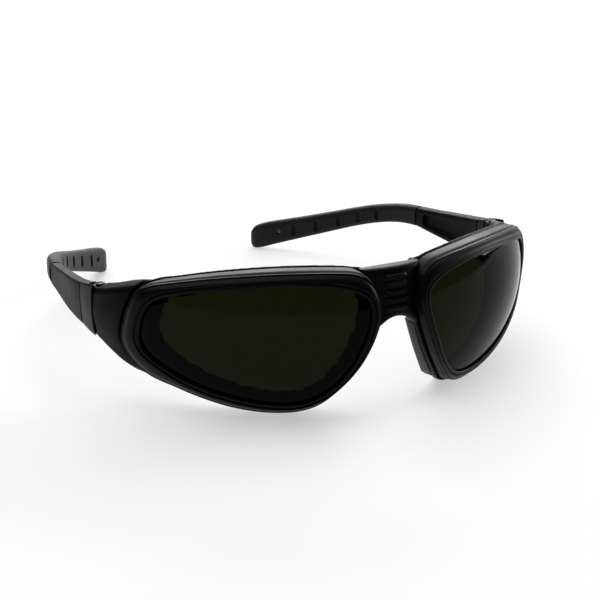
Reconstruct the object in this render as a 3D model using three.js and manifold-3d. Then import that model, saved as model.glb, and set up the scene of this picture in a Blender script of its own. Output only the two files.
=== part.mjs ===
// Wrap-around welding spectacles: a bowed front frame with two dark filter lenses,
// clip-in lens rims, vented gasket carriers, foam seals and two folding temples.
// Units are millimetres, +Z up. The wearer looks along -Y, the wearer's left is +X.
import * as THREE from 'three';
import { mergeVertices } from 'three/addons/utils/BufferGeometryUtils.js';
import Module from 'manifold-3d';

const wasm = await Module();
wasm.setup();

// ---- Driving dimensions -------------------------------------------------------------
const ORIGIN_Y = 67.5;        // centre of the depth, moved to y = 0
const WRAP_R = 79;            // radius of the front bow, seen from above
const WRAP_Y0 = -18.2;        // foremost point of the lens surface
const WRAP_Z = 24;            // height of the lens datum
const WRAP_KV = 0.0228;       // curvature of the front from brow to cheek
const WRAP_TILT = -0.1;       // lean of the front
const LOOP_N = 56;            // steps round each eye
const LENS_T = 2.2;
const GAP = 0.3;
const RIM_BACK = -5.0;        // depth of a lens rim behind the lens face
const CHASSIS_BACK = -9.0;
const CARRIER_T = 1.2;
const FOAM_BACK = -9.8;
const HINGE = { x: 72.2, y: 44.2, r: 2.5, bore: 1.25, pin: 0.9, cut: 41.7, z0: 18.8, z1: 22.6, z2: 31, z3: 34.8 };
const RIM_GROOVE = 1.3;       // shadow groove between a rim and the end piece
const BLOCK_END = 52.2;       // rear end of the hinge block
const SLEEVE_Y = 91;          // where the soft sleeve starts

// Lens edge and rim edge, in pairs (s, z): s runs along the bow from the middle plane.
const LENS_EDGE = [
  [13.1, 40.8], [10.7, 38.8], [10.1, 35.5], [11.0, 30.5], [13.6, 23.5], [17.0, 17.0], [21.3, 11.6],
  [26.5, 7.8], [32.0, 5.9], [38.0, 5.5], [45.5, 6.2], [55.0, 8.2], [63.0, 10.5], [70.0, 13.4],
  [75.6, 16.3], [80.6, 19.6], [82.7, 23.4], [82.2, 27.8], [80.9, 32.0], [79.2, 35.3], [76.2, 37.6],
  [69.5, 39.9], [60.0, 41.8], [50.0, 43.2], [40.0, 44.1], [31.0, 44.2], [24.0, 43.7], [17.8, 42.6]];
const RIM_EDGE = [
  [9.4, 44.9], [7.2, 41.2], [6.2, 36.5], [7.3, 31.0], [10.4, 23.0], [14.4, 16.0], [19.4, 9.8],
  [25.0, 4.6], [31.0, 2.2], [38.0, 1.5], [46.0, 1.8], [56.0, 3.3], [64.5, 5.6], [73.0, 8.2],
  [83.4, 11.3], [88.8, 16.2], [91.2, 21.6], [89.6, 28.8], [87.6, 34.6], [84.9, 39.0], [79.4, 41.7],
  [70.0, 44.0], [60.0, 45.9], [50.0, 47.2], [40.0, 48.0], [30.0, 48.2], [21.0, 47.9], [13.4, 47.0]];
const NOSE_FROM = 3.4, NOSE_TO = 6.8;   // stretch of the loop that lies along the nose
// Carrier frame round the loop: step, outer width outside the rim edge, drop of the back
// edge, front of its lip, inner wall, depth of the pocket for the nose pad.
const FRAME_WIDTH = [[0, 1.0, 0.9, -4.2, 0.3, 0], [1.2, 1.1, 1.0, -3.0, 0.3, 0], [3.1, 1.2, 0.9, -2.9, 0.3, 0],
  [3.4, 1.2, 0.9, -2.9, 0.3, 0.75], [6.8, 1.1, 0.9, -2.9, 0.3, 0.75], [7.2, 1.0, 0.9, -2.9, 0.3, 0],
  [9, 0.9, 0.8, -2.9, 0.3, 0], [14, 0.9, 0.8, -2.9, 0.3, 0], [17, 1.2, 1.2, -2.9, 0.3, 0], [19, 0.9, 1.6, -3.2, 0.3, 0],
  [20, 0.55, 2.2, -5.2, 0.3, 0], [20.5, 0.3, 2.4, -5.2, -0.8, 0], [27, 0.2, 2.6, -5.2, -0.8, 0],
  [27.5, 1.0, 1.0, -5.2, 0.3, 0], [28, 1.0, 0.9, -4.2, 0.3, 0]];

// ---- Materials ----------------------------------------------------------------------
const mat = (name, color, roughness, metalness = 0, opacity = 1) => new THREE.MeshStandardMaterial({
  name, color, roughness, metalness, opacity, transparent: opacity < 1 });
const M = {
  chassis: mat('frame_black', 0x131215, 0.42),
  rim: mat('rim_black', 0x0f0e11, 0.45),
  lens: mat('filter_green', 0x10180a, 0.06, 0, 0.85),
  carrier: mat('carrier_black', 0x0c0c0d, 0.6),
  foam: mat('foam_black', 0x141415, 0.95),
  nose: mat('nose_rubber', 0x1b1715, 0.7),
  block: mat('hinge_black', 0x121114, 0.45),
  pin: mat('pin_steel', 0x2c2c2e, 0.45, 1),
  arm: mat('temple_black', 0x121114, 0.42),
  sleeve: mat('sleeve_rubber', 0x2a282c, 0.7),
};

// ---- Solids -------------------------------------------------------------------------
const V = (x, y, z) => new THREE.Vector3(x, y, z);

function fromTriangles(points, tris) {
  const g = new THREE.BufferGeometry();
  g.setAttribute('position', new THREE.BufferAttribute(new Float32Array(points.flatMap(p => [p.x, p.y, p.z])), 3));
  g.setIndex(tris);
  let vol = 0;
  const a = V(0, 0, 0), b = V(0, 0, 0);
  for (let i = 0; i < tris.length; i += 3) {
    const [p, q, r] = [points[tris[i]], points[tris[i + 1]], points[tris[i + 2]]];
    vol += a.copy(p).dot(b.copy(q).cross(r));
  }
  if (vol < 0) for (let i = 0; i < tris.length; i += 3) [tris[i], tris[i + 1]] = [tris[i + 1], tris[i]];
  g.setIndex(tris);
  return g;
}

// A body from rings of equal count: closed on itself, or with a fan at each end.
function skin(rings, closed = false) {
  const m = rings[0].length, n = rings.length, pts = rings.flat(), tris = [];
  const last = closed ? n : n - 1;
  for (let i = 0; i < last; i++) for (let j = 0; j < m; j++) {
    const i2 = (i + 1) % n, j2 = (j + 1) % m;
    const a = i * m + j, b = i * m + j2, c = i2 * m + j2, d = i2 * m + j;
    tris.push(a, b, c, a, c, d);
  }
  if (!closed) for (const [row, flip] of [[0, true], [n - 1, false]]) {
    const mid = rings[row].reduce((s, p) => s.add(p), V(0, 0, 0)).divideScalar(m);
    const k = pts.push(mid) - 1;
    for (let j = 0; j < m; j++) {
      const a = row * m + j, b = row * m + (j + 1) % m;
      tris.push(...(flip ? [b, a, k] : [a, b, k]));
    }
  }
  return fromTriangles(pts, tris);
}

function clean(geometry) {
  const g = geometry.clone();
  g.deleteAttribute('normal');
  g.deleteAttribute('uv');
  return mergeVertices(g, 1e-5);
}
function solid(geometry) {
  const g = clean(geometry);
  return new wasm.Manifold(new wasm.Mesh({ numProp: 3, vertProperties: new Float32Array(g.attributes.position.array),
    triVerts: new Uint32Array(g.index.array) }));
}
function unsolid(manifold) {
  const m = manifold.getMesh(), g = new THREE.BufferGeometry();
  g.setAttribute('position', new THREE.BufferAttribute(new Float32Array(m.vertProperties), 3));
  g.setIndex(Array.from(m.triVerts));
  return g;
}
const join = list => list.map(solid).reduce((a, b) => a.add(b));
const cut = (base, list) => list.map(solid).reduce((a, b) => a.subtract(b), base);

function mirrored(geometry) {
  const g = geometry.hasAttribute('uv') ? clean(geometry) : geometry.clone(), p = g.attributes.position, t = Array.from(g.index.array);
  for (let i = 0; i < p.count; i++) p.setX(i, -p.getX(i));
  for (let i = 0; i < t.length; i += 3) [t[i], t[i + 1]] = [t[i + 1], t[i]];
  g.setIndex(t);
  return g;
}
const box = (x0, x1, y0, y1, z0, z1) => new THREE.BoxGeometry(x1 - x0, y1 - y0, z1 - z0)
  .translate((x0 + x1) / 2, (y0 + y1) / 2, (z0 + z1) / 2);
const post = (x, y, z0, z1, r, n = 16) => new THREE.CylinderGeometry(r, r, z1 - z0, n)
  .rotateX(Math.PI / 2).translate(x, y, (z0 + z1) / 2);

// ---- The bowed front ----------------------------------------------------------------
// A point of the front: s along the bow, z up, d forward of the lens surface.
function onFront(s, z, d) {
  const zz = z - WRAP_Z, re = WRAP_R + d - (WRAP_KV / 2 * zz * zz + WRAP_TILT * zz), a = s / WRAP_R;
  return V(re * Math.sin(a), WRAP_Y0 + WRAP_R - re * Math.cos(a), z);
}
const loopOf = list => new THREE.CatmullRomCurve3(list.map(([s, z]) => V(s, z, 0)), true, 'centripetal');
const lensLoop = loopOf(LENS_EDGE), rimLoop = loopOf(RIM_EDGE);

// A point near the edge of the eye: step k of the loop, fraction f of the way from the
// lens edge to the rim edge, then n millimetres further out, at depth d.
function edgePoint(k, f, n, d) {
  const u = (((k / LOOP_N) % 1) + 1) % 1, a = lensLoop.getPoint(u), b = rimLoop.getPoint(u);
  const out = b.clone().sub(a).normalize();
  a.lerp(b, f).addScaledVector(out, n);
  return onFront(a.x, a.y, d);
}
const eyeRing = profile => skin([...Array(LOOP_N).keys()].map(k =>
  (typeof profile === 'function' ? profile(k) : profile).map(([f, n, d]) => edgePoint(k, f, n, d))), true);
const eyeStrip = (from, to, steps, profile) => skin([...Array(steps + 1).keys()].map(i => {
  const t = i / steps, k = (from + (to - from) * t) * LOOP_N / LENS_EDGE.length;
  return profile(t).map(([f, n, d]) => edgePoint(k, f, n, d));
}));

function lens() {
  const mid = [47, 25.5], rings = [];
  const ring = (f, d) => [...Array(LOOP_N).keys()].map(k => {
    const p = lensLoop.getPoint(k / LOOP_N), q = rimLoop.getPoint(k / LOOP_N);
    p.addScaledVector(q.sub(p).normalize(), 1.0);
    return onFront(mid[0] + (p.x - mid[0]) * f, mid[1] + (p.y - mid[1]) * f, d);
  });
  for (const f of [0.06, 0.3, 0.55, 0.8, 1]) rings.push(ring(f, 0));
  for (const f of [1, 0.8, 0.55, 0.3, 0.06]) rings.push(ring(f, -LENS_T));
  return skin(rings);
}

// The rim clips over the lens: a raised lip round the lens, then a slope to its outer edge.
const lensRim = () => eyeRing([
  [0, 0, GAP], [0, 0.3, 0.9], [0, 1.3, 1.5], [0.6, 0, 0.9], [1, -0.6, -0.3], [1, 0, -1.2],
  [1, 0, -4.4], [1, -0.5, RIM_BACK], [0, 1.3, RIM_BACK], [0, 1.3, GAP]]);

// Vented flange behind the lens: its inner edge waves in and out between the vents.
const gasketCarrier = () => eyeRing(k => {
  const wave = -1.5 + 0.4 * Math.cos(k * Math.PI * 2 / 4);
  const front = RIM_BACK - GAP;
  return [[0, wave, front], [0, 1.1, front], [0, 1.1, front - CARRIER_T], [0, wave, front - CARRIER_T]];
});

const foamGasket = () => eyeRing([
  [0, -1.0, RIM_BACK - 2 * GAP - CARRIER_T], [0, 1.0, RIM_BACK - 2 * GAP - CARRIER_T], [0, 0.9, FOAM_BACK + 0.7],
  [0, 0.4, FOAM_BACK], [0, -0.5, FOAM_BACK], [0, -1.0, FOAM_BACK + 0.7]]);

function frameWidth(step) {
  const i = FRAME_WIDTH.findIndex(([a]) => a > step) - 1, p = FRAME_WIDTH[i], q = FRAME_WIDTH[i + 1];
  return p.map((v, c) => v + (q[c] - v) * (step - p[0]) / (q[0] - p[0]));
}
// The carrier frame behind each rim: a lip outside the rim, falling away to the back.
function chassisRing() {
  return eyeRing(k => {
    const [, w, drop, lip, inner, pocket] = frameWidth(k * LENS_EDGE.length / LOOP_N);
    return [[0, 1.4, RIM_BACK - GAP], [1, inner, RIM_BACK - GAP], [1, inner, lip - 0.1], [1, w - 0.15, lip], [1, w, lip - 0.6],
      [1, w - 0.05 * drop, Math.min(-4.3, lip - 0.9)], [1, w - 0.2 * drop - pocket, Math.min(-4.6, lip - 1.2)],
      [1, w - drop - 0.6 * pocket, CHASSIS_BACK], [0, 1.4, CHASSIS_BACK]];
  });
}

// The bridge: a solid web between the rims with an arched underside.
function bridge() {
  const rings = [], half = 11.6, steps = 20;
  for (let i = 0; i <= steps; i++) {
    const s = -half + 2 * half * i / steps, q = s * s;
    const zb = 31.9 - 0.075 * Math.min(q, 54) + 3.5 * Math.max(0, Math.abs(s) - 7.4), zt = 46.5 + 0.0005 * q;
    const f = -1.5 - 0.012 * q;
    rings.push([[zb + 1.2, f - 0.1], [zt - 0.9, f], [zt - 0.2, f - 0.3], [zt, f - 0.9], [zt - 0.1, -5.9],
      [zt - 1.9, CHASSIS_BACK + 0.7], [zb + 1.6, CHASSIS_BACK + 0.7], [zb, CHASSIS_BACK + 2.5], [zb, f - 1.6]]
      .map(([z, d]) => onFront(s, z, d)));
  }
  return skin(rings);
}
function bridgeRib(i) {
  const z = 35.2 + 2.25 * i, rings = [];
  for (let j = 0; j <= 4; j++) {
    const s = -4 + 2 * j, in1 = j === 0 || j === 4 ? 0.35 : 0;
    rings.push([[z - 0.62 + in1, -2.6], [z - 0.5 + in1, -0.95 - in1], [z + 0.5 - in1, -0.95 - in1], [z + 0.62 - in1, -2.6]]
      .map(([zz, d]) => onFront(s, zz, d)));
  }
  return skin(rings);
}

// Soft pad in a pocket along the nose side of the carrier frame, hooked over its back edge.
const nosePad = () => eyeStrip(NOSE_FROM, NOSE_TO, 8, t => {
  const e = Math.min(1, 5 * t, 5 * (1 - t)), out = 0.95 + 0.4 * e;
  return [[1, 0.6, -5.0], [1, out - 0.15, -5.0], [1, out, -5.5], [1, out, -8.2], [1, 0.6, -10.2], [1, -0.5, -10.4],
    [1, -0.5, CHASSIS_BACK - 0.4], [1, 0.25, CHASSIS_BACK - 0.4]];
});

// Flat foot under each eye, where the front rests on the table.
const foot = () => skin([32, 34, 36, 38, 40].map((s, i) => {
  const e = i === 0 || i === 4 ? 0.5 : 0;
  return [[2.4, -5.5], [2.4, -8.6], [e, -8.4], [e, -5.7]].map(([z, d]) => onFront(s, z, d));
}));

// End piece: the chassis carried round to the hinge, in sections along the bow.
function endPiece() {
  const rings = [];
  const span = [[82, 40.8, 8.6, -2.2], [86, 40.4, 8.8, -1.9], [90, 39.7, 9.5, -1.5], [94, 38.6, 11.1, -1.1],
    [98, 37.4, 13.4, -0.7], [102, 36.4, 15.8, -0.4], [105, 35.8, 17.2, -0.2], [108, 35.3, 18.0, 0]];
  for (const [s, zt, zb, d] of span) {
    const di = d - 6.2;
    rings.push([[zb + 0.4, d - 1.6], [zb + 2.0, d - 0.2], [(zt + zb) / 2, d + 0.3], [zt - 2.4, d], [zt - 0.5, d - 1.1],
      [zt, d - 2.2], [zt - 0.8, di + 0.9], [zt - 1.9, di], [zb + 1.4, di], [zb, di + 1.2]]
      .map(([z, dd]) => onFront(s, z, dd)));
  }
  return skin(rings);
}

function hingeEar(z0, z1) {
  return [post(HINGE.x, HINGE.y, z0, z1, HINGE.r), box(HINGE.x - HINGE.r + 0.2, HINGE.x + HINGE.r - 0.2,
    HINGE.cut - 1.6, HINGE.y, z0, z1)];
}

function chassisSide() {
  let side = join([chassisRing(), foot()]);
  // keep the end piece out of the rim's seat and of the eye opening
  let end = cut(solid(endPiece()), [rimSeat(RIM_GROOVE), eyeOpening(1.6)]);
  end = cut(end, [box(55, 90, HINGE.cut, 60, 0, 50), post(HINGE.x, HINGE.y, HINGE.z1, HINGE.z2, HINGE.r + 0.5)]);
  side = side.add(end);
  for (const [z0, z1] of [[HINGE.z0, HINGE.z1], [HINGE.z2, HINGE.z3]]) {
    for (const g of hingeEar(z0, z1)) side = side.add(solid(g));
  }
  return side.subtract(solid(post(HINGE.x, HINGE.y, 10, 45, HINGE.bore)));
}
// The space that a rim takes, a little wider than the wall the carrier frame leaves it.
const rimSeat = (n = GAP + 0.2) => eyeRing([[0, 0, 4], [1, n, 4], [1, n, RIM_BACK - GAP - 0.2],
  [0, 0, RIM_BACK - GAP - 0.2]]);
// The clear space through an eye, n millimetres outside the lens edge.
function eyeOpening(n) {
  const ring = (f, d) => [...Array(LOOP_N).keys()].map(k => {
    const p = lensLoop.getPoint(k / LOOP_N), q = rimLoop.getPoint(k / LOOP_N);
    p.addScaledVector(q.sub(p).normalize(), n);
    return onFront(47 + (p.x - 47) * f, 25.5 + (p.y - 25.5) * f, d);
  });
  return skin([ring(0.1, 5), ring(1, 5), ring(1, -20), ring(0.1, -20)]);
}

function frontChassis() {
  const side = unsolid(chassisSide()), seat = rimSeat();
  let web = solid(bridge());
  for (let i = 0; i < 5; i++) web = web.add(solid(bridgeRib(i)));
  web = cut(web, [seat, mirrored(seat), eyeOpening(1.6), mirrored(eyeOpening(1.6))]);
  return unsolid(solid(side).add(solid(mirrored(side))).add(web));
}

// ---- Temples ------------------------------------------------------------------------
// A rounded bar: stations of outer face x, y, top z, bottom z, thickness and heading.
function bar(stations, r = 1.1) {
  return skin(stations.map(({ x, y, zt, zb, th, a, round = r }) => {
    const nx = Math.cos(a), ny = -Math.sin(a), q = Math.min(round, th / 2 - 0.05, (zt - zb) / 2 - 0.05), c = q * 0.3;
    return [[0, zb + q], [0, zt - q], [c, zt - c], [q, zt], [th - q, zt], [th - c, zt - c], [th, zt - q],
      [th, zb + q], [th - c, zb + c], [th - q, zb], [q, zb], [c, zb + c]]
      .map(([t, z]) => V(x - nx * t, y - ny * t, z));
  }));
}
const BLOCK = [
  { x: 76.8, y: 42.1, zt: 36.0, zb: 18.1, th: 6.6, a: 0.02 }, { x: 76.7, y: 47, zt: 34.9, zb: 18.6, th: 5.6, a: 0 },
  { x: 76.2, y: BLOCK_END, zt: 33.6, zb: 19.2, th: 5.0, a: -0.03 }];
const ARM = [
  { x: 76.2, y: BLOCK_END + GAP, zt: 33.5, zb: 19.2, th: 5.0, a: -0.03 }, { x: 76.0, y: 58, zt: 32.5, zb: 19.3, th: 4.7, a: -0.05 },
  { x: 75.4, y: 65, zt: 31.4, zb: 19.4, th: 4.4, a: -0.08 }, { x: 74.6, y: 73, zt: 30.2, zb: 19.7, th: 4.2, a: -0.11 },
  { x: 73.6, y: 82, zt: 28.9, zb: 20.1, th: 4.0, a: -0.14 }, { x: 72.7, y: SLEEVE_Y, zt: 27.7, zb: 20.5, th: 3.8, a: -0.18 }];
const SLEEVE = [
  { x: 72.9, y: SLEEVE_Y + GAP, zt: 27.9, zb: 20.4, th: 4.2, a: -0.18 }, { x: 71.4, y: 98, zt: 27.2, zb: 20.0, th: 4.6, a: -0.26 },
  { x: 69.1, y: 105, zt: 25.9, zb: 18.9, th: 4.8, a: -0.38 }, { x: 65.9, y: 112, zt: 24.2, zb: 17.1, th: 4.9, a: -0.48 },
  { x: 61.8, y: 119, zt: 22.0, zb: 14.7, th: 4.9, a: -0.57 }, { x: 57.0, y: 126, zt: 19.4, zb: 11.8, th: 4.9, a: -0.63 },
  { x: 51.5, y: 133, zt: 16.8, zb: 8.7, th: 4.9, a: -0.67 }, { x: 45.6, y: 140, zt: 14.3, zb: 5.6, th: 4.9, a: -0.7 },
  { x: 39.8, y: 146.5, zt: 12.1, zb: 2.6, th: 4.8, a: -0.73 }, { x: 35.9, y: 150.7, zt: 10.4, zb: 0.6, th: 4.5, a: -0.75 },
  { x: 33.5, y: 153.2, zt: 8.6, zb: 0, th: 3.6, a: -0.77 }, { x: 32.2, y: 154.2, zt: 6.4, zb: 1.2, th: 2.2, a: -0.78 }];

function hingeBlock() {
  const h = HINGE, body = join([bar(BLOCK), post(h.x, h.y, h.z1 + GAP, h.z2 - GAP, h.r),
    box(h.x - h.r + 0.2, h.x + h.r, h.y, h.y + 4, h.z1 + GAP, h.z2 - GAP)]);
  const notch = (z0, z1) => box(60, h.x + h.r + 0.3, 40, h.y + 3.1, z0, z1);
  return unsolid(cut(body, [notch(10, h.z1 + GAP), notch(h.z2 - GAP, 40), post(h.x, h.y, 10, 45, h.bore),
    cutCorner()]));
}
// Clears the middle band ahead of the knuckle, so that the block turns past the end piece.
function cutCorner() {
  const h = HINGE, ring = [[-8, -4], [2.9, -4], [2.9, -1.2], [0, 0], [-8, 0]];
  const shape = new THREE.Shape(ring.map(([x, y]) => new THREE.Vector2(x, y)));
  const g = new THREE.ExtrudeGeometry(shape, { depth: h.z2 - h.z1 - 2 * GAP + 0.2, bevelEnabled: false });
  const wedge = solid(g.translate(h.x, h.y, h.z1 + GAP - 0.1));
  return unsolid(wedge.subtract(solid(post(h.x, h.y, 10, 45, h.r))));
}
function hingePin() {
  const h = HINGE, t = h.z3 + GAP, b = h.z0 - 0.3;
  return new THREE.LatheGeometry([[0, b], [h.pin, b], [h.pin, t], [1.55, t], [1.55, t + 0.25], [1.2, t + 0.4], [0, t + 0.4]]
    .map(([r, z]) => new THREE.Vector2(r, z)), 12).rotateX(Math.PI / 2).translate(h.x, h.y, 0);
}

function templeArm() {
  // tongue that the sleeve grips, with a shallow pocket along the inner face
  const tongue = bar([{ x: 72.6, y: 88, zt: 26.2, zb: 22.0, th: 2.6, a: -0.18 }, { x: 71.2, y: 95, zt: 25.6, zb: 21.8, th: 2.4, a: -0.2 },
    { x: 70.5, y: 98.4, zt: 25.3, zb: 21.9, th: 2.2, a: -0.25 }], 0.6);
  const pocket = bar([{ x: 72.7, y: 60, zt: 29.9, zb: 21.7, th: 4, a: -0.07 }, { x: 72.1, y: 70, zt: 28.6, zb: 21.7, th: 4, a: -0.1 },
    { x: 71.4, y: 79, zt: 27.3, zb: 21.9, th: 4, a: -0.13 }, { x: 70.6, y: 86, zt: 26.3, zb: 22.2, th: 4, a: -0.16 }], 0.8);
  return unsolid(cut(join([bar(ARM), tongue]), [pocket]));
}

// Points along the inner face of the sleeve, by fraction of its length.
function sleeveAt(t) {
  const u = t * (SLEEVE.length - 1), i = Math.min(Math.floor(u), SLEEVE.length - 2), f = u - i;
  const p = SLEEVE[i], q = SLEEVE[i + 1], mix = key => p[key] + (q[key] - p[key]) * f;
  return { x: mix('x'), y: mix('y'), zt: mix('zt'), zb: mix('zb'), th: mix('th'), a: mix('a') };
}
function sleeve() {
  const socket = bar([{ x: 72.95, y: 88, zt: 26.5, zb: 21.7, th: 3.2, a: -0.18 }, { x: 72.25, y: 91.3, zt: 26.3, zb: 21.6, th: 3.2, a: -0.18 },
    { x: 71.5, y: 95, zt: 25.9, zb: 21.5, th: 3.0, a: -0.2 }, { x: 70.8, y: 99, zt: 25.6, zb: 21.6, th: 2.8, a: -0.25 }], 0.6);
  const tools = [socket];
  for (let i = 0; i < 5; i++) {
    const w = sleeveAt(0.25 + 0.0975 * i), nx = Math.cos(w.a), ny = -Math.sin(w.a), mid = (w.zt + w.zb) / 2;
    tools.push(new THREE.BoxGeometry(1.8, 1.7, (w.zt - w.zb) * 0.52).rotateZ(-w.a)
      .translate(w.x - nx * w.th, w.y - ny * w.th, mid));
  }
  const w = sleeveAt(0.71), nx = Math.cos(w.a), ny = -Math.sin(w.a);
  tools.push(new THREE.CylinderGeometry(1.0, 1.0, 14, 12).rotateZ(Math.PI / 2).rotateZ(-w.a)
    .translate(w.x - nx * w.th / 2, w.y - ny * w.th / 2, (w.zt + w.zb) / 2 + 0.4));
  return unsolid(cut(solid(bar(SLEEVE, 1.8)), tools));
}

// ---- Assembly -----------------------------------------------------------------------
const goggles = new THREE.Group();
goggles.position.set(0, -ORIGIN_Y, 0);
function add(parent, name, geometry, material) {
  const g = geometry.hasAttribute('uv') ? clean(geometry) : geometry;
  g.computeVertexNormals();
  const mesh = new THREE.Mesh(g, material);
  mesh.name = name;
  parent.add(mesh);
}
add(goggles, 'front_chassis', frontChassis(), M.chassis);
const pieces = [
  ['lens_rim', lensRim(), M.rim], ['lens', lens(), M.lens], ['gasket_carrier', gasketCarrier(), M.carrier],
  ['foam_gasket', foamGasket(), M.foam], ['nose_pad', nosePad(), M.nose], ['hinge_pin', hingePin(), M.pin]];
const folding = [['hinge_block', hingeBlock(), M.block], ['temple_arm', templeArm(), M.arm], ['temple_sleeve', sleeve(), M.sleeve]];
for (const side of ['left', 'right']) {
  const place = g => (side === 'left' ? g : mirrored(g));
  for (const [name, g, m] of pieces) add(goggles, `${side}_${name}`, place(g), m);
  const temple = new THREE.Group();
  goggles.add(temple);
  for (const [name, g, m] of folding) add(temple, `${side}_${name}`, place(g), m);
}
export default goggles;
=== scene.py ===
import bpy
import bmesh
import math
from mathutils import Matrix, Vector


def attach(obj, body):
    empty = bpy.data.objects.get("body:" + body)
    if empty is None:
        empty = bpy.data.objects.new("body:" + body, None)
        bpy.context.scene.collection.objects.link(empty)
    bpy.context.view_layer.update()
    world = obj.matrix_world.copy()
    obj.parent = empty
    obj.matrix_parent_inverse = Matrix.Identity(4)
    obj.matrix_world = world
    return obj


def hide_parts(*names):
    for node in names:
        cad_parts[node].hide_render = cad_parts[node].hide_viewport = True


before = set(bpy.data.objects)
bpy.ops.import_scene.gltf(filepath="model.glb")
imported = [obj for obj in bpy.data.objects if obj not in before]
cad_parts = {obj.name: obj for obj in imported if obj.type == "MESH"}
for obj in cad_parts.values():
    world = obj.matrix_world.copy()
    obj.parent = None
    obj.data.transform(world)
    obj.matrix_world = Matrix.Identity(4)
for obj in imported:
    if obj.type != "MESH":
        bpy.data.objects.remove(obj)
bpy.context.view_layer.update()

MM = 0.001

# ---- Dimensions, in millimetres, as in the CAD source ----------------------------------
ORIGIN_Y = 67.5
WRAP_R, WRAP_Y0, WRAP_Z, WRAP_KV, WRAP_TILT = 79, -18.2, 24, 0.0228, -0.1
LENS_T, GAP, RIM_BACK, CHASSIS_BACK, CARRIER_T, FOAM_BACK = 2.2, 0.3, -5.0, -9.0, 1.2, -9.8
HX, HY, HR, HCUT = 72.2, 44.2, 2.5, 41.7
HZ = (18.8, 22.6, 31.0, 34.8)
BLOCK_END, SLEEVE_Y, RIM_GROOVE = 52.2, 91.0, 1.7
LOOP_N = 224
EYE_S, EYE_Z = 47.0, 25.5   # middle of an eye
LENS_EDGE = [
    (13.1, 40.8), (10.7, 38.8), (10.1, 35.5), (11.0, 30.5), (13.6, 23.5), (17.0, 17.0), (21.3, 11.6),
    (26.5, 7.8), (32.0, 5.9), (38.0, 5.5), (45.5, 6.2), (55.0, 8.2), (63.0, 10.5), (70.0, 13.4),
    (75.6, 16.3), (80.6, 19.6), (82.7, 23.4), (82.2, 27.8), (80.9, 32.0), (79.2, 35.3), (76.2, 37.6),
    (69.5, 39.9), (60.0, 41.8), (50.0, 43.2), (40.0, 44.1), (31.0, 44.2), (24.0, 43.7), (17.8, 42.6)]
RIM_EDGE = [
    (9.4, 44.9), (7.2, 41.2), (6.2, 36.5), (7.3, 31.0), (10.4, 23.0), (14.4, 16.0), (19.4, 9.8),
    (25.0, 4.6), (31.0, 2.2), (38.0, 1.5), (46.0, 1.8), (56.0, 3.3), (64.5, 5.6), (73.0, 8.2),
    (83.4, 11.3), (88.8, 16.2), (91.2, 21.6), (89.6, 28.8), (87.6, 34.6), (84.9, 39.0), (79.4, 41.7),
    (70.0, 44.0), (60.0, 45.9), (50.0, 47.2), (40.0, 48.0), (30.0, 48.2), (21.0, 47.9), (13.4, 47.0)]
NOSE_FROM, NOSE_TO = 3.4, 6.8
# step round the loop, width, drop of the back edge, lip front, inner wall, pad pocket
FRAME_WIDTH = [
    (0, 1.0, 0.9, -4.2, 0.3, 0), (1.2, 1.1, 1.0, -3.0, 0.3, 0), (3.1, 1.2, 0.9, -2.9, 0.3, 0),
    (3.4, 1.2, 0.9, -2.9, 0.3, 0.75), (6.8, 1.1, 0.9, -2.9, 0.3, 0.75), (7.2, 1.0, 0.9, -2.9, 0.3, 0),
    (9, 0.9, 0.8, -2.9, 0.3, 0), (13.6, 0.9, 0.8, -2.9, 0.3, 0), (14.4, 0.9, 0.8, -4.5, 0.3, 0),
    (17, 1.2, 1.2, -4.5, 0.3, 0),
    (19, 0.9, 1.6, -4.6, 0.3, 0), (20, 0.55, 2.2, -5.2, 0.3, 0), (20.5, 0.3, 2.4, -5.2, -0.8, 0),
    (27, 0.2, 2.6, -5.2, -0.8, 0), (27.5, 1.0, 1.0, -5.2, 0.3, 0), (28, 1.0, 0.9, -4.2, 0.3, 0)]
END_PIECE = [
    (82, 40.8, 8.6, -2.2), (86, 40.4, 8.8, -1.9), (90, 39.7, 9.5, -1.5), (94, 38.6, 11.1, -1.1),
    (98, 37.4, 13.4, -1.0), (102, 36.4, 15.8, -1.0), (105, 35.8, 17.2, -1.15), (108, 35.3, 18.0, -1.6)]
# stations of a temple: outer face x and y, top z, bottom z, thickness, heading
BLOCK = [
    (76.3, 42.1, 35.9, 18.3, 6.1, 0.02), (76.4, 47, 34.9, 18.6, 5.6, 0), (76.2, BLOCK_END, 33.6, 19.2, 5.0, -0.03)]
ARM = [
    (76.2, BLOCK_END + GAP, 33.5, 19.2, 5.0, -0.03), (76.0, 58, 32.5, 19.3, 4.7, -0.05),
    (75.4, 65, 31.4, 19.4, 4.4, -0.08),
    (74.6, 73, 30.2, 19.7, 4.2, -0.11), (73.6, 82, 28.9, 20.1, 4.0, -0.14), (72.7, SLEEVE_Y, 27.7, 20.5, 3.8, -0.18)]
SLEEVE = [
    (72.9, SLEEVE_Y + GAP, 27.9, 20.4, 4.2, -0.18), (71.4, 98, 27.2, 20.0, 4.6, -0.26),
    (69.1, 105, 25.9, 18.9, 4.8, -0.38),
    (65.9, 112, 24.2, 17.1, 4.9, -0.48), (61.8, 119, 22.0, 14.7, 4.9, -0.57), (57.0, 126, 19.4, 11.8, 4.9, -0.63),
    (51.5, 133, 16.8, 8.7, 4.9, -0.67), (45.6, 140, 14.3, 5.6, 4.9, -0.7), (39.8, 146.5, 12.1, 2.6, 4.8, -0.73),
    (35.9, 150.7, 10.4, 0.6, 4.5, -0.75), (33.5, 153.2, 8.6, 0.0, 3.6, -0.77), (32.2, 154.2, 6.4, 1.2, 2.2, -0.78)]

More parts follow.
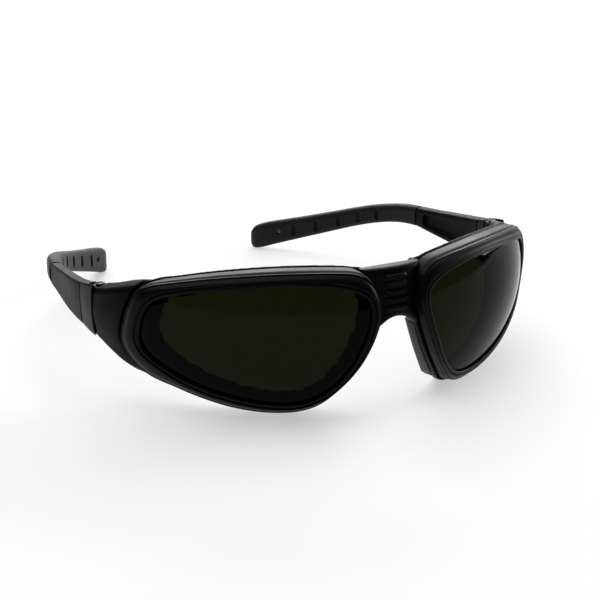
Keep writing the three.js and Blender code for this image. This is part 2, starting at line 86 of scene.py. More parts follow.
POCKET = [
    (72.7, 60, 29.9, 21.7, 4, -0.07), (72.1, 70, 28.6, 21.7, 4, -0.1), (71.4, 79, 27.3, 21.9, 4, -0.13),
    (70.6, 86, 26.3, 22.2, 4, -0.16)]
TONGUE = [(72.6, 88, 26.2, 22.0, 2.6, -0.18), (71.2, 95, 25.6, 21.8, 2.4, -0.2), (70.5, 98.4, 25.3, 21.9, 2.2, -0.25)]
SOCKET = [
    (72.95, 88, 26.5, 21.7, 3.2, -0.18), (72.25, 91.3, 26.3, 21.6, 3.2, -0.18), (71.5, 95, 25.9, 21.5, 3.0, -0.2),
    (70.8, 99, 25.6, 21.6, 2.8, -0.25)]


# ---- Materials -------------------------------------------------------------------------
GRAIN_SCALE, GRAIN_DEPTH, EDGE_WEAR = 9000, 0.00002, 0.5   # spark-eroded grain and rubbed edges
FOAM_CELLS = 1700                                          # cells per metre
FILTER_TINT, FILTER_IOR = (0.0062, 0.0074, 0.0026), 1.11


def new_material(name, base, rough, spec):
    mat = bpy.data.materials.new(name)
    mat.use_nodes = True
    bsdf = mat.node_tree.nodes["Principled BSDF"]
    bsdf.inputs["Base Color"].default_value = (*base, 1)
    bsdf.inputs["Roughness"].default_value = rough
    bsdf.inputs["Specular IOR Level"].default_value = spec
    return mat, mat.node_tree, bsdf


def noise(tree, scale, detail=3.0, rough=0.55):
    co = tree.nodes.new("ShaderNodeTexCoord")
    n = tree.nodes.new("ShaderNodeTexNoise")
    n.inputs["Scale"].default_value = scale
    n.inputs["Detail"].default_value = detail
    n.inputs["Roughness"].default_value = rough
    tree.links.new(co.outputs["Object"], n.inputs["Vector"])
    return n


def ramp(tree, source, stops):
    r = tree.nodes.new("ShaderNodeValToRGB")
    els = r.color_ramp.elements
    while len(els) < len(stops):
        els.new(0.5)
    for e, (pos, col) in zip(els, stops):
        e.position = pos
        e.color = col if len(col) == 4 else (*col, 1)
    tree.links.new(source, r.inputs[0])
    return r


def grey(v):
    return (v, v, v, 1)


def bump(tree, bsdf, heights):
    """Chain of bumps from (height source, strength, distance in metres)."""
    last = None
    for source, s, dist in heights:
        b = tree.nodes.new("ShaderNodeBump")
        b.inputs["Strength"].default_value = s
        b.inputs["Distance"].default_value = dist
        tree.links.new(source, b.inputs["Height"])
        if last is not None:
            tree.links.new(last.outputs["Normal"], b.inputs["Normal"])
        last = b
    tree.links.new(last.outputs["Normal"], bsdf.inputs["Normal"])


def moulded(name, base, rough, spec):
    """Satin injection-moulded plastic: fine spark-eroded grain, slight flow marks, rubbed edges."""
    mat, tree, bsdf = new_material(name, base, rough, spec)
    fine, flow = noise(tree, GRAIN_SCALE, 2.0), noise(tree, 60, 3.0)
    edge = tree.nodes.new("ShaderNodeNewGeometry")
    rub = ramp(tree, edge.outputs["Pointiness"], [(0.5, grey(0)), (0.62, grey(EDGE_WEAR))])
    mix = tree.nodes.new("ShaderNodeMix")
    mix.data_type = "RGBA"
    mix.inputs[6].default_value = (*base, 1)
    mix.inputs[7].default_value = (*[min(1, c * 2.2 + 0.006) for c in base], 1)
    tree.links.new(rub.outputs[0], mix.inputs[0])
    tint = tree.nodes.new("ShaderNodeMix")
    tint.data_type = "RGBA"
    tint.blend_type = "MULTIPLY"
    tint.inputs[0].default_value = 0.5
    shade = ramp(tree, flow.outputs["Fac"], [(0.3, grey(0.78)), (0.7, grey(1))])
    tree.links.new(mix.outputs[2], tint.inputs[6])
    tree.links.new(shade.outputs[0], tint.inputs[7])
    tree.links.new(tint.outputs[2], bsdf.inputs["Base Color"])
    rr = ramp(tree, flow.outputs["Fac"], [(0.25, grey(max(0, rough - 0.05))), (0.75, grey(rough + 0.07))])
    tree.links.new(rr.outputs[0], bsdf.inputs["Roughness"])
    bump(tree, bsdf, [(fine.outputs["Fac"], 0.35, GRAIN_DEPTH)])
    return mat


def rubber(name, base, rough, spec):
    """Matt rubber with a little bloom and dust."""
    mat, tree, bsdf = new_material(name, base, rough, spec)
    bsdf.inputs["Sheen Weight"].default_value = 0.12
    bsdf.inputs["Sheen Roughness"].default_value = 0.4
    fine, dust = noise(tree, 5200, 2.0), noise(tree, 240, 4.0)
    dull, bright = [c * 0.8 for c in base], [c * 1.18 for c in base]
    shade = ramp(tree, dust.outputs["Fac"], [(0.35, dull), (0.75, bright)])
    tree.links.new(shade.outputs[0], bsdf.inputs["Base Color"])
    rr = ramp(tree, dust.outputs["Fac"], [(0.3, grey(rough - 0.06)), (0.7, grey(rough + 0.08))])
    tree.links.new(rr.outputs[0], bsdf.inputs["Roughness"])
    bump(tree, bsdf, [(fine.outputs["Fac"], 0.5, 0.00003)])
    return mat


def foam(name):
    """Closed-cell foam: dark cells of half a millimetre with thin lighter walls."""
    mat, tree, bsdf = new_material(name, (0.012, 0.012, 0.013), 0.95, 0.15)
    bsdf.inputs["Sheen Weight"].default_value = 0.15
    co = tree.nodes.new("ShaderNodeTexCoord")
    cell = tree.nodes.new("ShaderNodeTexVoronoi")
    cell.inputs["Scale"].default_value = FOAM_CELLS
    tree.links.new(co.outputs["Object"], cell.inputs["Vector"])
    shade = ramp(tree, cell.outputs["Distance"], [(0.0, (0.006, 0.006, 0.006)), (0.75, (0.03, 0.03, 0.032))])
    tree.links.new(shade.outputs[0], bsdf.inputs["Base Color"])
    soft = noise(tree, 300, 3.0)
    bump(tree, bsdf, [(cell.outputs["Distance"], 0.7, 0.00015), (soft.outputs["Fac"], 0.3, 0.0002)])
    return mat


def filter_glass(name):
    """Dark green filter: the colour is in the bulk, the surface is polished, with faint haze."""
    mat, tree, bsdf = new_material(name, FILTER_TINT, 0.03, 0.5)
    bsdf.inputs["Transmission Weight"].default_value = 1.0
    bsdf.inputs["IOR"].default_value = FILTER_IOR
    haze = noise(tree, 90, 5.0)
    rr = ramp(tree, haze.outputs["Fac"], [(0.35, grey(0.015)), (0.8, grey(0.06))])
    tree.links.new(rr.outputs[0], bsdf.inputs["Roughness"])
    return mat


def steel(name):
    """Dark turned steel."""
    mat, tree, bsdf = new_material(name, (0.035, 0.035, 0.037), 0.42, 0.5)
    bsdf.inputs["Metallic"].default_value = 1.0
    turn = noise(tree, 2600, 3.0)
    rr = ramp(tree, turn.outputs["Fac"], [(0.3, grey(0.36)), (0.7, grey(0.52))])
    tree.links.new(rr.outputs[0], bsdf.inputs["Roughness"])
    bump(tree, bsdf, [(turn.outputs["Fac"], 0.3, 0.00002)])
    return mat


MAT = {
    "chassis": moulded("moulded_frame", (0.0016, 0.0014, 0.0018), 0.40, 0.07),
    "rim": moulded("moulded_rim", (0.0017, 0.0015, 0.0020), 0.38, 0.08),
    "lens": filter_glass("filter_lens"),
    "carrier": moulded("moulded_carrier", (0.004, 0.004, 0.004), 0.6, 0.2),
    "foam": foam("closed_cell_foam"),
    "nose": rubber("nose_rubber", (0.030, 0.022, 0.018), 0.62, 0.2),
    "block": moulded("moulded_hinge", (0.0017, 0.0015, 0.0019), 0.40, 0.075),
    "pin": steel("screw_steel"),
    "arm": moulded("moulded_temple", (0.0017, 0.0015, 0.0020), 0.46, 0.06),
    "sleeve": rubber("sleeve_rubber", (0.009, 0.0082, 0.0098), 0.58, 0.15),
}


# ---- Mesh building ---------------------------------------------------------------------
def vec(x, y, z):
    return Vector((x * MM, (y - ORIGIN_Y) * MM, z * MM))


def object_from(name, verts, faces, mat=None):
    mesh = bpy.data.meshes.new(name)
    mesh.from_pydata(verts, [], faces)
    bm = bmesh.new()
    bm.from_mesh(mesh)
    bmesh.ops.recalc_face_normals(bm, faces=bm.faces)
    bm.to_mesh(mesh)
    bm.free()
    ob = bpy.data.objects.new(name, mesh)
    bpy.context.scene.collection.objects.link(ob)
    if mat:
        mesh.materials.append(mat)
    for p in mesh.polygons:
        p.use_smooth = True
    return ob


def skin(name, rings, closed=False, mat=None):
    m, n = len(rings[0]), len(rings)
    verts = [p for r in rings for p in r]
    faces = []
    for i in range(n if closed else n - 1):
        for j in range(m):
            i2, j2 = (i + 1) % n, (j + 1) % m
            faces.append((i * m + j, i * m + j2, i2 * m + j2, i2 * m + j))
    if not closed:
        for row in (0, n - 1):
            verts.append(sum(rings[row], Vector()) / m)
            k = len(verts) - 1
            faces += [(row * m + (j + 1) % m, row * m + j, k) for j in range(m)]
    return object_from(name, verts, faces, mat)


def apply_modifiers(ob):
    deps = bpy.context.evaluated_depsgraph_get()
    mesh = bpy.data.meshes.new_from_object(ob.evaluated_get(deps))
    old = ob.data
    ob.modifiers.clear()
    ob.data = mesh
    mesh.name = ob.name
    bpy.data.meshes.remove(old)


def boolean(ob, tool, op):
    m = ob.modifiers.new("cut", "BOOLEAN")
    m.object, m.operation, m.solver = tool, op, "EXACT"
    apply_modifiers(ob)
    bpy.data.objects.remove(tool, do_unlink=True)


def mirrored(ob, name):
    mesh = ob.data.copy()
    mesh.name = name
    mesh.transform(Matrix.Diagonal((-1, 1, 1, 1)))
    mesh.flip_normals()
    twin = bpy.data.objects.new(name, mesh)
    bpy.context.scene.collection.objects.link(twin)
    return twin


def merged(name, obs, mat):
    bm = bmesh.new()
    for ob in obs:
        bm.from_mesh(ob.data)
    mesh = bpy.data.meshes.new(name)
    bm.to_mesh(mesh)
    bm.free()
    mesh.materials.clear()
    mesh.materials.append(mat)
    for ob in obs:
        bpy.data.objects.remove(ob, do_unlink=True)
    out = bpy.data.objects.new(name, mesh)
    bpy.context.scene.collection.objects.link(out)
    return out


def fuse(ob, voxel, smooth=6, factor=0.5):
    """One moulded skin with softened edges from overlapping closed shells."""
    m = ob.modifiers.new("fuse", "REMESH")
    m.mode, m.voxel_size, m.adaptivity = "VOXEL", voxel * MM, 0
    s = ob.modifiers.new("soften", "SMOOTH")
    s.factor, s.iterations = factor, smooth
    mats = list(ob.data.materials)
    apply_modifiers(ob)
    if not ob.data.materials:
        for mt in mats:
            ob.data.materials.append(mt)
    for p in ob.data.polygons:
        p.use_smooth = True
        p.material_index = 0
    return ob


BOX_FACES = [(0, 1, 3, 2), (4, 6, 7, 5), (0, 4, 5, 1), (2, 3, 7, 6), (0, 2, 6, 4), (1, 5, 7, 3)]


def box(name, x0, x1, y0, y1, z0, z1):
    c = [vec(x, y, z) for x in (x0, x1) for y in (y0, y1) for z in (z0, z1)]
    return object_from(name, c, BOX_FACES)


def turn(x, y, profile, n=40):
    """Rings round a vertical axis from (radius, z) pairs."""
    turns = [2 * math.pi * i / n for i in range(n)]
    return [[vec(x + r * math.cos(a), y + r * math.sin(a), z) for a in turns] for r, z in profile]


def post(name, x, y, z0, z1, r):
    return skin(name, turn(x, y, [(r, z0), (r, z1)]))


def rounded(points, radii, seg=4):
    """Polygon in a plane with its corners rounded."""
    out, n = [], len(points)
    for i, (px, py) in enumerate(points):
        ax, ay = points[i - 1]
        bx, by = points[(i + 1) % n]
        la, lb = max(1e-6, math.hypot(ax - px, ay - py)), max(1e-6, math.hypot(bx - px, by - py))
        t = min(radii[i] if isinstance(radii, (list, tuple)) else radii, 0.46 * la, 0.46 * lb)
        sx, sy = px + (ax - px) * t / la, py + (ay - py) * t / la
        ex, ey = px + (bx - px) * t / lb, py + (by - py) * t / lb
        for k in range(seg + 1):
            u = k / seg
            out.append(((1 - u) ** 2 * sx + 2 * u * (1 - u) * px + u * u * ex,
                        (1 - u) ** 2 * sy + 2 * u * (1 - u) * py + u * u * ey))
    return out


# ---- The bowed front -------------------------------------------------------------------
def on_front(s, z, d):
    zz = z - WRAP_Z
    re = WRAP_R + d - (WRAP_KV / 2 * zz * zz + WRAP_TILT * zz)
    a = s / WRAP_R
    return vec(re * math.sin(a), WRAP_Y0 + WRAP_R - re * math.cos(a), z)


def closed_curve(points, n):
    """Centripetal Catmull-Rom loop, the same curve as in the CAD source."""
    length, out = len(points), []
    for i in range(n):
        u = length * i / n
        k, w = int(u), u - int(u)
        p = [points[(k + j) % length] for j in (-1, 0, 1, 2)]
        dt = [((p[j][0] - p[j + 1][0]) ** 2 + (p[j][1] - p[j + 1][1]) ** 2) ** 0.25 for j in range(3)]
        q = []
        for c in (0, 1):
            x0, x1, x2, x3 = (a[c] for a in p)
            t1 = ((x1 - x0) / dt[0] - (x2 - x0) / (dt[0] + dt[1]) + (x2 - x1) / dt[1]) * dt[1]
            t2 = ((x2 - x1) / dt[1] - (x3 - x1) / (dt[1] + dt[2]) + (x3 - x2) / dt[2]) * dt[1]
            c2, c3 = -3 * x1 + 3 * x2 - 2 * t1 - t2, 2 * x1 - 2 * x2 + t1 + t2
            q.append(x1 + t1 * w + c2 * w ** 2 + c3 * w ** 3)
        out.append(tuple(q))
    return out


def relaxed(loop, passes):
    """Rounds the corners of a loop a little, pass by pass."""
    n = len(loop)
    for _ in range(passes):
        loop = [tuple(0.25 * loop[i - 1][c] + 0.5 * loop[i][c] + 0.25 * loop[(i + 1) % n][c] for c in (0, 1))
                for i in range(n)]
    return loop


LENS_LOOP = relaxed(closed_curve(LENS_EDGE, LOOP_N), 3)
RIM_LOOP = relaxed(closed_curve(RIM_EDGE, LOOP_N), 2)
WIDTH = [math.dist(a, b) for a, b in zip(LENS_LOOP, RIM_LOOP)]
OUT = relaxed([((b[0] - a[0]) / w, (b[1] - a[1]) / w) for a, b, w in zip(LENS_LOOP, RIM_LOOP, WIDTH)], 10)


def edge_point(k, n, d):
    """n millimetres outside the lens edge at step k of the loop, at depth d."""
    i, t = int(math.floor(k)), k - math.floor(k)
    a, b = i % LOOP_N, (i + 1) % LOOP_N
    (s, z), (us, uz) = (tuple((1 - t) * table[a][c] + t * table[b][c] for c in (0, 1)) for table in (LENS_LOOP, OUT))
    return on_front(s + us * n, z + uz * n, d)


def width_at(k):
    i, t = int(math.floor(k)), k - math.floor(k)
    return (1 - t) * WIDTH[i % LOOP_N] + t * WIDTH[(i + 1) % LOOP_N]


def eye_ring(name, profile, mat=None, radius=0.3, seg=4):
    """Sweep a profile of (fraction of the rim width, millimetres, depth) round the eye."""
    rings = []
    for k in range(LOOP_N):
        p = profile(k) if callable(profile) else profile
        section = rounded([(f * WIDTH[k] + n, d) for f, n, d in p], radius, seg)
        rings.append([edge_point(k, n, d) for n, d in section])
    return skin(name, rings, True, mat)


def frame_width(step):
    for p, q in zip(FRAME_WIDTH, FRAME_WIDTH[1:]):
        if p[0] <= step < q[0]:
            t = (step - p[0]) / (q[0] - p[0])
            return [a + (b - a) * t for a, b in zip(p, q)]
    return FRAME_WIDTH[-1]


def lens_rim():
    """Raised lip round the lens, a fine groove, a rounded band, a second groove and the outer slope."""
    # fraction of the width, millimetres, depth, corner radius
    prof = [(0, 0, GAP, 0.1), (0, 0.15, 0.7, 0.15), (0, 0.5, 1.0, 0.2), (0, 1.0, 1.05, 0.2), (0, 1.25, 0.72, 0.1),
            (0, 1.55, 0.72, 0.1), (0, 1.85, 1.3, 0.3), (0.55, 0.1, 1.15, 1.2), (0.8, -0.35, 0.62, 0.3),
            (0.8, -0.1, 0.3, 0.12), (0.86, 0, 0.25, 0.12), (0.9, 0.05, 0.35, 0.2), (1, -0.45, -0.3, 0.4),
            (1, 0, -1.2, 0.35), (1, 0, -4.4, 0.25), (1, -0.5, RIM_BACK, 0.2), (0, 1.3, RIM_BACK, 0.2),
            (0, 1.3, GAP, 0.1)]
    return eye_ring("lens_rim", [q[:3] for q in prof], MAT["rim"], [q[3] for q in prof])


def lens():
    edge = [(LENS_LOOP[k][0] + OUT[k][0], LENS_LOOP[k][1] + OUT[k][1]) for k in range(LOOP_N)]

    def ring(f, d):
        return [on_front(EYE_S + (s - EYE_S) * f, EYE_Z + (z - EYE_Z) * f, d) for s, z in edge]
    fr = [0.03] + [0.1 * i for i in range(1, 10)]
    rings = [ring(f, 0) for f in fr] + [ring(0.985, 0), ring(1, -0.15)]
    rings += [ring(1, -LENS_T + 0.15), ring(0.985, -LENS_T)] + [ring(f, -LENS_T) for f in reversed(fr)]
    return skin("lens", rings, False, MAT["lens"])


def gasket_carrier():
    front = RIM_BACK - GAP

    def profile(k):
        wave = -1.5 + 0.4 * math.tanh(2.2 * math.cos(k * 2 * math.pi * 14 / LOOP_N)) / math.tanh(2.2)
        return [(0, wave, front), (0, 1.1, front), (0, 1.1, front - CARRIER_T), (0, wave, front - CARRIER_T)]
    return eye_ring("gasket_carrier", profile, MAT["carrier"], 0.25)


def foam_gasket():
    top = RIM_BACK - 2 * GAP - CARRIER_T

    def profile(k):
        u = k * 2 * math.pi / LOOP_N
        soft = 0.1 * math.sin(9 * u) + 0.07 * math.sin(23 * u + 1)
        cell = 0.4 * math.sin(34 * u + 1.5 * math.sin(3 * u)) + 0.22 * math.sin(19 * u)
        return [(0, -0.9 + 0.5 * cell, top), (0, 0.95, top), (0, 0.85 + 0.4 * soft, FOAM_BACK + 0.8),
                (0, 0.3, FOAM_BACK + soft), (0, -0.5 + cell, FOAM_BACK + soft),
                (0, -0.9 + cell, FOAM_BACK + 0.8 + soft)]
    return eye_ring("foam_gasket", profile, MAT["foam"], [0.2, 0.2, 0.6, 0.4, 0.4, 0.5], 5)


def chassis_ring():
    def profile(k):
        _, w, drop, lip, inner, pocket = frame_width(k * len(LENS_EDGE) / LOOP_N)
        return [(0, 1.4, RIM_BACK - GAP), (1, inner, RIM_BACK - GAP), (1, inner, lip - 0.1), (1, w - 0.15, lip),
                (1, w, lip - 0.6), (1, w - 0.05 * drop, min(-4.3, lip - 0.9)),
                (1, w - 0.2 * drop - pocket, min(-4.6, lip - 1.2)),
                (1, w - drop - 0.6 * pocket, CHASSIS_BACK), (0, 1.4, CHASSIS_BACK)]
    return eye_ring("chassis_ring", profile, None, 0.3, 3)


def bridge():
    """Solid web between the rims with an arched underside."""
    rings, half, steps = [], 11.6, 58
    for i in range(steps + 1):
        s = -half + 2 * half * i / steps
        q = s * s
        zb = 31.9 - 0.075 * min(q, 54) + 3.5 * max(0, abs(s) - 7.4)
        zt, f = 46.9 - 0.002 * q, -1.5 - 0.012 * q
        prof = [(zb + 1.2, f - 0.1), (zt - 0.9, f), (zt - 0.2, f - 0.3), (zt, f - 0.9), (zt - 0.1, -5.9),
                (zt - 1.9, CHASSIS_BACK + 0.7), (zb + 1.6, CHASSIS_BACK + 0.7), (zb, CHASSIS_BACK + 2.5),
                (zb, f - 1.6)]
        rings.append([on_front(s, z, d) for z, d in rounded(prof, 0.35, 3)])
    web = skin("bridge", rings)
    for tool in (rim_seat(), eye_opening(1.6)):
        twin = mirrored(tool, "twin")
        boolean(web, tool, "DIFFERENCE")
        boolean(web, twin, "DIFFERENCE")
    return web


def bridge_rib(i):
    z, rings = 35.2 + 2.25 * i, []
    for j in range(13):
        s, e = -4 + 8 * j / 12, max(0.0, abs(j - 6) - 4.4) / 1.6
        in1 = 0.45 * e * e
        prof = [(z - 0.62 + in1, -2.6), (z - 0.5 + in1, -0.95 - in1), (z + 0.5 - in1, -0.95 - in1),
                (z + 0.62 - in1, -2.6)]
        rings.append([on_front(s, zz, d) for zz, d in rounded(prof, 0.22, 3)])
    return skin("rib", rings)


def nose_pad():
    rings, steps, unit = [], 60, LOOP_N / len(LENS_EDGE)
    for i in range(steps + 1):
        t = i / steps
        k = (NOSE_FROM + (NOSE_TO - NOSE_FROM) * t) * unit
        e = min(1, 5 * t, 5 * (1 - t))
        e = e * e * (3 - 2 * e)
        out, w = 0.95 + 0.4 * e, width_at(k)
        prof = [(0.6, -5.0), (out - 0.15, -5.0), (out, -5.5), (out, -8.2), (0.6, -10.2), (-0.5, -10.4),
                (-0.5, CHASSIS_BACK - 0.4), (0.25, CHASSIS_BACK - 0.4)]
        rings.append([edge_point(k, w + n, d) for n, d in rounded(prof, 0.35, 4)])
    return skin("nose_pad", rings, False, MAT["nose"])


def foot():
    rings = []
    for i, s in enumerate((32, 33, 34, 36, 38, 39, 40)):
        e = (0.5, 0.15, 0, 0, 0, 0.15, 0.5)[i]
        rings.append([on_front(s, z, d) for z, d in ((2.4, -5.5), (2.4, -8.6), (e, -8.4), (e, -5.7))])
    return skin("foot", rings)


def lerp_rows(rows, steps):
    """Smooth resampling of station rows along their index."""
    out, n = [], len(rows)
    for i in range(steps + 1):
        u = (n - 1) * i / steps
        k = min(int(u), n - 2)
        t = u - k
        p = [rows[max(0, k - 1)], rows[k], rows[k + 1], rows[min(n - 1, k + 2)]]
        out.append([0.5 * (2 * b + (c - a) * t + (2 * a - 5 * b + 4 * c - d) * t * t + (3 * b - a - 3 * c + d) * t ** 3)
                    for a, b, c, d in zip(*p)])
    return out


def end_piece():
    rings = []
    for s, zt, zb, d in lerp_rows(END_PIECE, 56):
        di = d - 6.2
        prof = [(zb + 0.4, d - 1.6), (zb + 2.0, d - 0.2), ((zt + zb) / 2, d + 0.3), (zt - 2.3, d), (zt - 1.2, d - 0.6),
                (zt, di + 2.0), (zt - 0.4, di + 0.7), (zt - 1.6, di), (zb + 1.4, di), (zb, di + 1.2)]
        r = [0.7, 1.2, 6.0, 0.5, 0.4, 0.8, 0.6, 0.6, 0.8, 0.7]
        rings.append([on_front(s, z, dd) for z, dd in rounded(prof, r, 4)])
    return skin("end_piece", rings)


def disc_tool(loop, n, d0, d1):
    """Solid through an eye: everything inside a loop grown by n millimetres, between two depths."""
    edge = [(loop[k][0] + OUT[k][0] * n, loop[k][1] + OUT[k][1] * n) for k in range(0, LOOP_N, 4)]

    def ring(f, d):
        return [on_front(EYE_S + (s - EYE_S) * f, EYE_Z + (z - EYE_Z) * f, d) for s, z in edge]
    fs = (0.1, 0.4, 0.7, 0.9)
    return skin("tool", [ring(f, d0) for f in fs] + [ring(1, d0), ring(1, d1)] + [ring(f, d1) for f in reversed(fs)])


def eye_opening(n):
    return disc_tool(LENS_LOOP, n, 5, -20)


def rim_seat(n=GAP + 0.1):
    return disc_tool(RIM_LOOP, n, 4, RIM_BACK - GAP - 0.1)


def front_chassis():
    end = end_piece()
    boolean(end, rim_seat(RIM_GROOVE), "DIFFERENCE")
    boolean(end, eye_opening(1.6), "DIFFERENCE")
    boolean(end, box("cut", 55, 90, HCUT, 60, 0, 50), "DIFFERENCE")
    boolean(end, post("cut", HX, HY, HZ[1], HZ[2], HR + 0.5), "DIFFERENCE")
    side = [chassis_ring(), foot(), end]
    for z0, z1 in ((HZ[0], HZ[1]), (HZ[2], HZ[3])):
        side.append(post("ear", HX, HY, z0, z1, HR))
        side.append(box("stem", HX - HR + 0.2, HX + HR - 0.2, HCUT - 1.6, HY, z0, z1))
    twins = [mirrored(ob, ob.name) for ob in side]
    web = bridge()
    ribs = [bridge_rib(i) for i in range(5)]
    out = merged("front_frame", side + twins + [web] + ribs, MAT["chassis"])
    fuse(out, 0.34, 7)
    for sx in (1, -1):
        boolean(out, post("bore", sx * HX, HY, 10, 45, 1.2), "DIFFERENCE")
    return out


# ---- Temples ---------------------------------------------------------------------------
def lean(z, y):
    """Inward lean of the outer face near the hinge, so that it carries on from the bowed front."""
    zz, fade = z - WRAP_Z, max(0.0, min(1.0, (72 - y) / (72 - HCUT)))
    return fade * fade * (3 - 2 * fade) * (WRAP_KV / 2 * zz * zz + WRAP_TILT * zz + 0.22)


def bar(name, stations, r=1.1, steps=40, mat=None, crown=0.0, leaning=False):
    rings = []
    for row in lerp_rows(stations, steps):
        x, y, zt, zb, th, a = row
        nx, ny = math.cos(a), -math.sin(a)
        q = min(r, th / 2 - 0.05, (zt - zb) / 2 - 0.05)
        prof = [(0, zb), (-crown, (zb + zt) / 2), (0, zt), (th, zt), (th, zb)]
        rad = [q * 1.6, (zt - zb) * 0.3, q * 1.6, q * 1.3, q * 1.3]
        if leaning:
            zm = (zb + zt) / 2
            outer = (zb, zb + 0.3 * (zm - zb), zm, zt - 0.3 * (zt - zm), zt)
            prof = [(lean(z, y), z) for z in outer] + [(th, zt), (th, zb)]
            rad = [q * 1.6, 4, 4, 4, q * 1.6, q * 1.3, q * 1.3]
        rings.append([vec(x - nx * t, y - ny * t, z) for t, z in rounded(prof, rad, 5)])
    return skin(name, rings, False, mat)


def hinge_block():
    """Front end of a temple: a knuckle between the two ears, and a skin outside them."""
    block = bar("hinge_block", BLOCK, 1.2, 12, None, 0, True)
    for z0, z1 in ((10, HZ[1] + GAP), (HZ[2] - GAP, 40)):
        boolean(block, box("cut", 60, HX + HR + 0.3, 40, HY + 3.1, z0, z1), "DIFFERENCE")
    boolean(block, box("cut", HX - 8, HX + 2.9, HY - 4, HY - 0.6, HZ[1] - 0.5, HZ[2] + 0.5), "DIFFERENCE")
    knuckle = post("knuckle", HX, HY, HZ[1] + GAP, HZ[2] - GAP, HR)
    neck = box("neck", HX - HR + 0.2, HX + HR, HY, HY + 4, HZ[1] + GAP, HZ[2] - GAP)
    out = merged("hinge_block", [block, knuckle, neck], MAT["block"])
    fuse(out, 0.22, 5)
    boolean(out, post("bore", HX, HY, 10, 45, 1.2), "DIFFERENCE")
    return out


def hinge_screw():
    t, b = HZ[3] + GAP, HZ[0] - 0.3
    prof = [(0.05, b), (0.75, b), (0.9, b + 0.15), (0.9, t), (1.45, t), (1.55, t + 0.08), (1.5, t + 0.25),
            (1.2, t + 0.38), (0.05, t + 0.4)]
    ob = skin("hinge_screw", turn(HX, HY, prof), False, MAT["pin"])
    slot = box("slot", HX - 2, HX + 2, HY - 0.2, HY + 0.2, t + 0.18, t + 2)
    boolean(ob, slot, "DIFFERENCE")
    ob.data.shade_smooth()
    return ob


def temple_arm():
    arm = bar("temple_arm", ARM, 1.2, 40, None, 0.25, True)
    boolean(arm, bar("pocket", POCKET, 0.8, 16), "DIFFERENCE")
    tongue = bar("tongue", TONGUE, 0.6, 10)
    out = merged("temple_arm", [arm, tongue], MAT["arm"])
    return fuse(out, 0.24, 5)


def sleeve_at(t):
    u = t * (len(SLEEVE) - 1)
    i = min(int(u), len(SLEEVE) - 2)
    return [a + (b - a) * (u - i) for a, b in zip(SLEEVE[i], SLEEVE[i + 1])]


def turned_box(w, depth, across, height):
    x, y, zt, zb, th, a = w
    nx, ny, mid = math.cos(a), -math.sin(a), (zt + zb) / 2
    c = []
    for t in (-depth / 2, depth / 2):
        for v in (-across / 2, across / 2):
            for h in (-height / 2, height / 2):
                c.append(vec(x - nx * (th + t) - ny * v, y - ny * (th + t) + nx * v, mid + h))
    return object_from("slot", c, BOX_FACES)


def temple_sleeve():
    ob = bar("temple_sleeve", SLEEVE, 1.7, 90, None, 0.15)
    boolean(ob, bar("socket", SOCKET, 0.6, 10), "DIFFERENCE")
    for i in range(5):
        w = sleeve_at(0.25 + 0.0975 * i)
        boolean(ob, turned_box(w, 1.8, 1.7, (w[2] - w[3]) * 0.52), "DIFFERENCE")
    w = sleeve_at(0.71)
    x, y, zt, zb, th, a = w
    nx, ny, mid, rings = math.cos(a), -math.sin(a), (zt + zb) / 2 + 0.4, []
    for t in (-3, th + 3):
        rings.append([vec(x - nx * t - ny * math.cos(p), y - ny * t + nx * math.cos(p), mid + math.sin(p))
                      for p in (2 * math.pi * i / 28 for i in range(28))])
    boolean(ob, skin("hole", rings), "DIFFERENCE")
    ob.data.materials.clear()
    ob.data.materials.append(MAT["sleeve"])
    return fuse(ob, 0.24, 5)


# ---- Pieces on their bodies ------------------------------------------------------------
def place(ob, name, node, body):
    ob.name = name
    ob.data.name = name
    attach(ob, body)
    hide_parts(node)


place(front_chassis(), "front_frame", "front_chassis", "front")
PARTS = [
    (lens_rim, "rim", "lens_rim", "rim_black", None),
    (lens, "filter", "lens", "filter_green", None),
    (gasket_carrier, "carrier", "gasket_carrier", "carrier_black", None),
    (foam_gasket, "foam_seal", "foam_gasket", "foam_black", 0.85),
    (nose_pad, "nose_cushion", "nose_pad", "nose_rubber", None),
    (hinge_screw, "screw", "hinge_pin", "pin_steel", None),
    (hinge_block, "hinge", "hinge_block", "hinge_black", None),
    (temple_arm, "arm", "temple_arm", "temple_black", None),
    (temple_sleeve, "ear_sleeve", "temple_sleeve", "sleeve_rubber", None)]
for make, name, node, slot, pad in PARTS:
    left = make()
    right = mirrored(left, f"right_{name}")
    for side, ob in (("left", left), ("right", right)):
        body = f"{side}_temple" if node in ("hinge_block", "temple_arm", "temple_sleeve") else "front"
        place(ob, f"{side}_{name}", f"{side}_{node}", body)


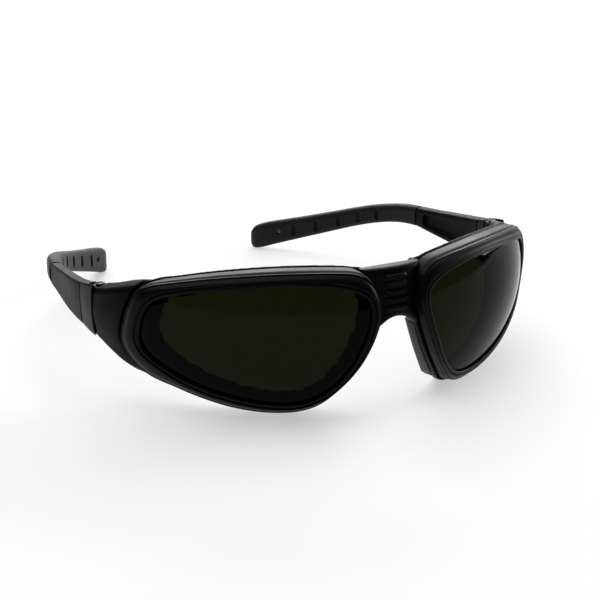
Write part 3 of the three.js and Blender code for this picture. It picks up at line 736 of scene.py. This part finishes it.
# ---- Camera, floor, light --------------------------------------------------------------
FLOOR_HALF = 6
AZ, EL, DIST, OX, OZ, FOCAL = math.radians(-26.9), math.radians(20.0), 533.6, -22.3, 30.2, 1700.0
back = Vector((math.sin(AZ) * math.cos(EL), -math.cos(AZ) * math.cos(EL), math.sin(EL)))
right = Vector((math.cos(AZ), math.sin(AZ), 0))
up = back.cross(right)
eye = back * DIST + right * OX + up * OZ
cam = bpy.data.cameras.new("camera")
cam.lens, cam.sensor_width = FOCAL * 36 / 600, 36
cam.clip_start, cam.clip_end = 0.01, 20
cam_ob = bpy.data.objects.new("camera", cam)
cam_ob.matrix_world = Matrix.Translation(vec(*eye)) @ Matrix((right, up, back)).transposed().to_4x4()
bpy.context.scene.collection.objects.link(cam_ob)
bpy.context.scene.camera = cam_ob

floor_mat, tree, bsdf = new_material("floor_white", (0.5, 0.5, 0.5), 0.9, 0.02)
bsdf.inputs["Emission Color"].default_value = (1, 1, 1, 1)
bsdf.inputs["Emission Strength"].default_value = 0.5
corners = [Vector((x * FLOOR_HALF, y * FLOOR_HALF, 0)) for x, y in ((-1, -1), (1, -1), (1, 1), (-1, 1))]
floor = object_from("floor", corners, [(0, 1, 2, 3)], floor_mat)


def area(name, loc, target, size, power, color=(1, 1, 1)):
    lamp = bpy.data.lights.new(name, "AREA")
    lamp.shape, lamp.size, lamp.size_y, lamp.energy, lamp.color = "RECTANGLE", size[0], size[1], power, color
    ob = bpy.data.objects.new(name, lamp)
    ob.location = loc
    ob.rotation_euler = (Vector(target) - Vector(loc)).to_track_quat("-Z", "Y").to_euler()
    bpy.context.scene.collection.objects.link(ob)


area("top", (0.0, 0.7, 2.2), (0, 0.1, 0), (3.6, 3.0), 66)
area("rear", (0.95, 1.9, 0.82), (0, 0, 0.03), (1.5, 0.8), 26)
area("side", (1.3, 0.1, 0.4), (0, 0, 0.03), (0.7, 0.6), 12)

world = bpy.data.worlds.new("studio")
world.use_nodes = True
bpy.context.scene.world = world
sky = world.node_tree
sky_co, sky_xyz = sky.nodes.new("ShaderNodeTexCoord"), sky.nodes.new("ShaderNodeSeparateXYZ")
sky.links.new(sky_co.outputs["Generated"], sky_xyz.inputs[0])
spread = sky.nodes.new("ShaderNodeMapRange")
spread.inputs["From Min"].default_value, spread.inputs["From Max"].default_value = -1.0, 0.9
spread.inputs["To Min"].default_value, spread.inputs["To Max"].default_value = 0.26, 1.25
sky.links.new(sky_xyz.outputs["X"], spread.inputs["Value"])
sky.links.new(spread.outputs["Result"], sky.nodes["Background"].inputs["Strength"])
bpy.context.scene.view_settings.view_transform = "Standard"
